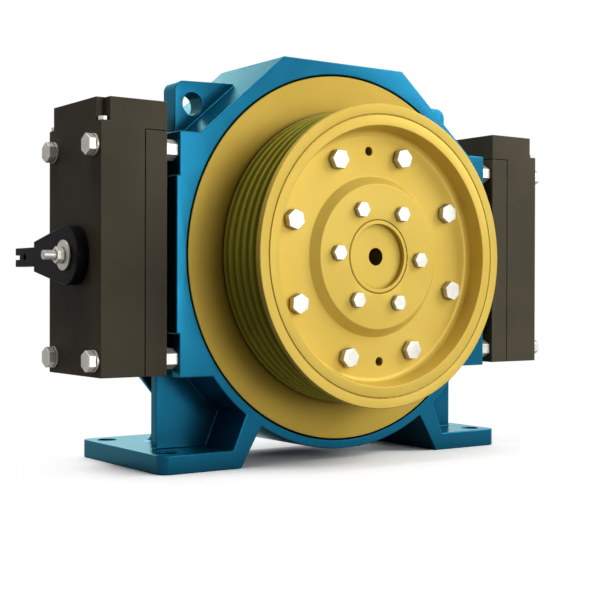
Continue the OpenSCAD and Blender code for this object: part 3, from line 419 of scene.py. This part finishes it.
# edge radius in metres and steps of each rounded piece
edgeWork = {"frame_casting": (0.0016, 3), "rear_bearing_cover": (0.001, 2),
            "terminal_box": (0.0012, 2), "terminal_box_lid": (0.0012, 2),
            "encoder_housing": (0.001, 2), "cable_glands": (0.0003, 2),
            "traction_sheave": (0.0009, 3), "rotor_drum": (0.0007, 2), "shaft": (0.0004, 2),
            "sheave_bolts": (0.0008, 2), "hub_bolts": (0.0006, 2),
            "bearing_cover_screws": (0.0005, 2), "encoder_screws": (0.0004, 2),
            "terminal_lid_screws": (0.0006, 2)}
brakeEdges = {"magnet_housing": (0.0012, 3), "armature": (0.001, 3), "brake_shoe": (0.001, 2),
              "brake_bolts": (0.0008, 2), "brake_washers": (0.0004, 2),
              "brake_spacers": (0.0003, 2), "housing_screws": (0.0004, 2),
              "release_stud": (0.0006, 2), "stud_washer": (0.0005, 2), "stud_nut": (0.0007, 2),
              "release_lever": (0.0012, 3)}
for side in ("left_", "right_"):
    edgeWork.update({side + part: work for part, work in brakeEdges.items()})

# radii of the roped band on the sheave's rim, and how far behind its front face the band starts
ropeBand = dict(inner=0.19, outer=0.2035, behind=0.0088)
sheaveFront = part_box("traction_sheave")[0].y
centreHole = next(m for m in frame["record"]["mounts"] if m["name"] == "shaft_centre_hole")
holeSlack = dict(radius=0.0002, depth=0.0005)


def paintFaces(bm, chosen):
    # gives the faces that chosen says yes to the piece's second material
    for f in bm.faces:
        c = f.calc_center_median()
        if chosen(math.hypot(c.x, c.z - shaftHeight), c.y):
            f.material_index = 1


def inCentreHole(radius, y):
    holeRadius = centreHole["dims"]["r_mm"] / mmPerMetre
    halfDepth = centreHole["dims"]["length_mm"] / mmPerMetre / 2
    return (radius < holeRadius + holeSlack["radius"]
            and abs(y - centreHole["pos_m"][1]) < halfDepth + holeSlack["depth"])


def inRopeBand(radius, y):
    return ropeBand["inner"] < radius < ropeBand["outer"] and y > sheaveFront + ropeBand["behind"]


for node, (width, steps) in edgeWork.items():
    bm = roundEdges(node, width, steps)
    materials = [slotPaint[slotOf[node]]]
    if node == "shaft":
        # the centre hole's faces get the dark bare steel, partly as painted shade
        materials = [sheavePaint, holeSteelAndShade]
        paintFaces(bm, inCentreHole)
    if node == "traction_sheave":
        # the roped band gets the darker copy of the sheave's enamel, as painted shade
        materials = [sheavePaint, grooveShadeYellow]
        paintFaces(bm, inRopeBand)
    addPiece(bm, node, bodyOf[node], materials)

for node, obj in frame["nodes"].items():
    if node not in edgeWork:
        obj.data.materials.clear()
        obj.data.materials.append(slotPaint[slotOf[node]])
print("pieces made:", len(edgeWork), "rounded")

# bounce is how pale the floor is to the light it throws back, pale how it is seen;
# fades and reach are in metres, shadeDark and shadeOpen shares of sky in sight
floorLook = dict(half=4.5, bounce=0.12, pale=0.66, fadeFrom=0.38, fadeTo=0.85,
                 shadeSamples=8, shadeReach=0.3, shadeDark=0.3, shadeOpen=0.75)


def lightPathSeen(tree):
    # 1 where the camera, a reflection or a view through glass looks at the surface
    path = tree.nodes.new("ShaderNodeLightPath")
    seen = path.outputs["Is Camera Ray"]
    for name in ("Is Glossy Ray", "Is Transmission Ray"):
        either = tree.nodes.new("ShaderNodeMath")
        either.operation = "MAXIMUM"
        tree.links.new(seen, either.inputs[0])
        tree.links.new(path.outputs[name], either.inputs[1])
        seen = either.outputs[0]
    return seen


def diffuse(tree, level):
    n = tree.nodes.new("ShaderNodeBsdfDiffuse")
    n.inputs["Color"].default_value = (level, level, level, 1)
    return n.outputs[0]


def joinShaders(tree, kind, a, b, fac=None):
    n = tree.nodes.new(kind)
    if fac is not None:
        tree.links.new(fac, n.inputs[0])
    tree.links.new(a, n.inputs[-2])
    tree.links.new(b, n.inputs[-1])
    return n.outputs[0]


def makeFloor(look):
    half = look["half"]
    bm = bmesh.new()
    bm.faces.new([bm.verts.new((x, y, 0)) for x, y in ((-half, -half), (half, -half),
                                                       (half, half), (-half, half))])
    mesh = bpy.data.meshes.new("floor")
    bm.to_mesh(mesh)
    bm.free()
    floor = bpy.data.objects.new("floor", mesh)
    bpy.context.scene.collection.objects.link(floor)
    n = Nodes("paleFloor")
    tree = n.tree
    # the seen floor keeps its shadow where the machine shades it, and turns into the plain white
    # ground in the open and further out; two layers, as one alone is too dull
    shaded = joinShaders(tree, "ShaderNodeAddShader", diffuse(tree, look["pale"]),
                         diffuse(tree, look["pale"]))
    white = n.add("ShaderNodeEmission")
    away = n.add("ShaderNodeVectorMath")
    away.operation = "LENGTH"
    n.link(n.place, away.inputs[0])
    far = n.ramp(away.outputs["Value"], look["fadeFrom"], look["fadeTo"])
    openSky = n.add("ShaderNodeAmbientOcclusion")
    openSky.samples = look["shadeSamples"]
    openSky.inputs["Distance"].default_value = look["shadeReach"]
    unshaded = n.ramp(openSky.outputs["AO"], look["shadeDark"], look["shadeOpen"])
    seenFloor = joinShaders(tree, "ShaderNodeMixShader", shaded, white.outputs[0],
                            n.math("MAXIMUM", far, unshaded))
    out = joinShaders(tree, "ShaderNodeMixShader", diffuse(tree, look["bounce"]), seenFloor,
                      lightPathSeen(tree))
    n.link(out, tree.nodes["Material Output"].inputs["Surface"])
    floor.data.materials.append(n.mat)


def makeWorld(ambient):
    # white where it is seen, and only ambient as light
    world = bpy.data.worlds.new("studio")
    bpy.context.scene.world = world
    world.use_nodes = True
    tree = world.node_tree
    back = tree.nodes["Background"]
    back.inputs["Color"].default_value = (1, 1, 1, 1)
    strength = tree.nodes.new("ShaderNodeMapRange")
    strength.inputs["To Min"].default_value = ambient
    tree.links.new(lightPathSeen(tree), strength.inputs["Value"])
    tree.links.new(strength.outputs["Result"], back.inputs["Strength"])


def addLamp(name, aim, place, size, power):
    data = bpy.data.lights.new(name, "AREA")
    data.shape = "RECTANGLE"
    data.size, data.size_y = size
    data.energy = power
    lamp = bpy.data.objects.new(name, data)
    lamp.location = place
    way = Vector(aim) - Vector(place)
    lamp.rotation_euler = way.to_track_quat("-Z", "Y").to_euler()
    bpy.context.scene.collection.objects.link(lamp)


studio = dict(ambient=0.08, aim=(0, 0, 0.28))
lamps = dict(keyLamp=dict(place=(1.81, -1.41, 1.5), size=(1.2, 1.5), power=43),
             frontLamp=dict(place=(0.5, -2.55, 0.45), size=(1.2, 1.0), power=27),
             topLamp=dict(place=(-0.75, 0.1, 2.79), size=(1.2, 1.2), power=36),
             rearLamp=dict(place=(1.1, 2.1, 1.2), size=(1.8, 1.0), power=20))

makeFloor(floorLook)
makeWorld(studio["ambient"])
for name, lamp in lamps.items():
    addLamp(name, studio["aim"], **lamp)
print("floor and", len(lamps), "lamps set")

# angles in degrees, azimuth counted from straight in front; lens, sensor in mm
cameraFit = dict(place=(-1.0689, -1.5192, 0.23565), azimuth=-35.33, elevation=0.47, roll=0.13,
                 lens=75.18, sensor=36, nearest=0.05, shiftX=-0.0018, shiftY=0.0028)
cameraData = bpy.data.cameras.new("camera")
cameraData.lens = cameraFit["lens"]
cameraData.sensor_width = cameraFit["sensor"]
cameraData.clip_start = cameraFit["nearest"]
cameraData.shift_x = cameraFit["shiftX"]
cameraData.shift_y = cameraFit["shiftY"]
camera = bpy.data.objects.new("camera", cameraData)
turn, rise, roll = (math.radians(cameraFit[key]) for key in ("azimuth", "elevation", "roll"))
ahead = Vector((-math.sin(turn) * math.cos(rise), math.cos(turn) * math.cos(rise), -math.sin(rise)))
camera.rotation_mode = "QUATERNION"
camera.rotation_quaternion = (ahead.to_track_quat("-Z", "Y").to_matrix()
                              @ Matrix.Rotation(roll, 3, "Z")).to_quaternion()
camera.location = cameraFit["place"]
bpy.context.scene.collection.objects.link(camera)
bpy.context.scene.camera = camera
bpy.context.scene.view_settings.view_transform = "Standard"
print("camera set")
